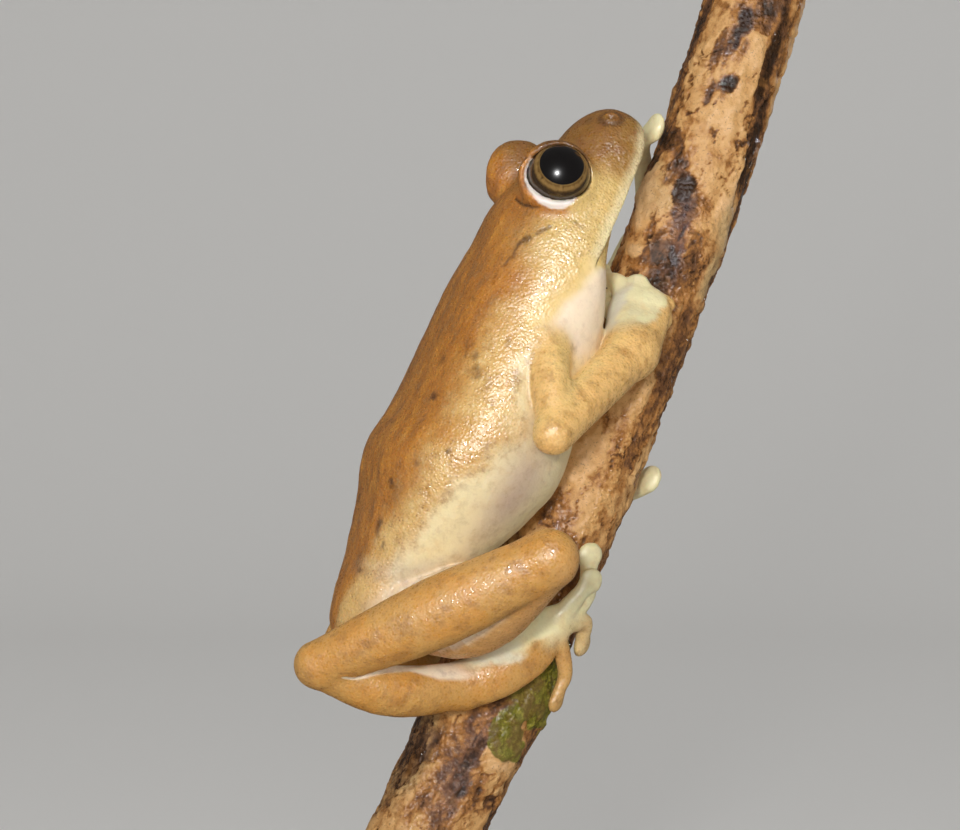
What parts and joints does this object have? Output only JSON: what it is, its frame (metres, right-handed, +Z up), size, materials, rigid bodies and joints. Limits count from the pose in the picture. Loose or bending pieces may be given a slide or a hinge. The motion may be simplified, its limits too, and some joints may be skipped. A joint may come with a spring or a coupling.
{
  "type": "nimba reed frog model on a stem",
  "caption": "Still, life-size reed frog gripping a leaning cut length of stem, with limbs folded round it and disc-tipped digits, held on a rod over a flat round base.",
  "frame": {"origin": "middle of the underside of the round base", "axes": "+Z up along the rod, +X towards the side that the stem leans to, -Y the side that the frog's right flank faces"},
  "size_m": [0.058, 0.058, 0.074],
  "materials": {
    "skin_back": "moist, finely granular orange brown skin, with darker mottling and a paler flank",
    "skin_limb": "moist tan skin, orange outside and pale inside",
    "skin_foot": "moist, pale yellow green, slightly translucent digits and discs",
    "eye": "wet, with a veined brown gold iris round a black pupil",
    "stem_bark": "damp brown bark, flaking and mottled, with a patch of moss",
    "stand_wood": "dark, satin, turned",
    "rod_steel": "satin"
  },
  "bodies": {
    "root": {"torso": "skin_back", "head": "skin_back", "lower_jaw": "skin_back", "eye_right": "eye", "eye_left": "eye", "upper_arm_right": "skin_limb", "upper_arm_left": "skin_limb", "forearm_right": "skin_limb", "forearm_left": "skin_limb", "hand_right": "skin_foot", "hand_left": "skin_foot", "thigh_right": "skin_limb", "thigh_left": "skin_limb", "shin_right": "skin_limb", "shin_left": "skin_limb", "tarsus_right": "skin_limb", "tarsus_left": "skin_limb", "foot_right": "skin_foot", "foot_left": "skin_foot", "perch": "stem_bark", "stand_base": "stand_wood", "stand_rod": "rod_steel"}
  },
  "joints": []
}
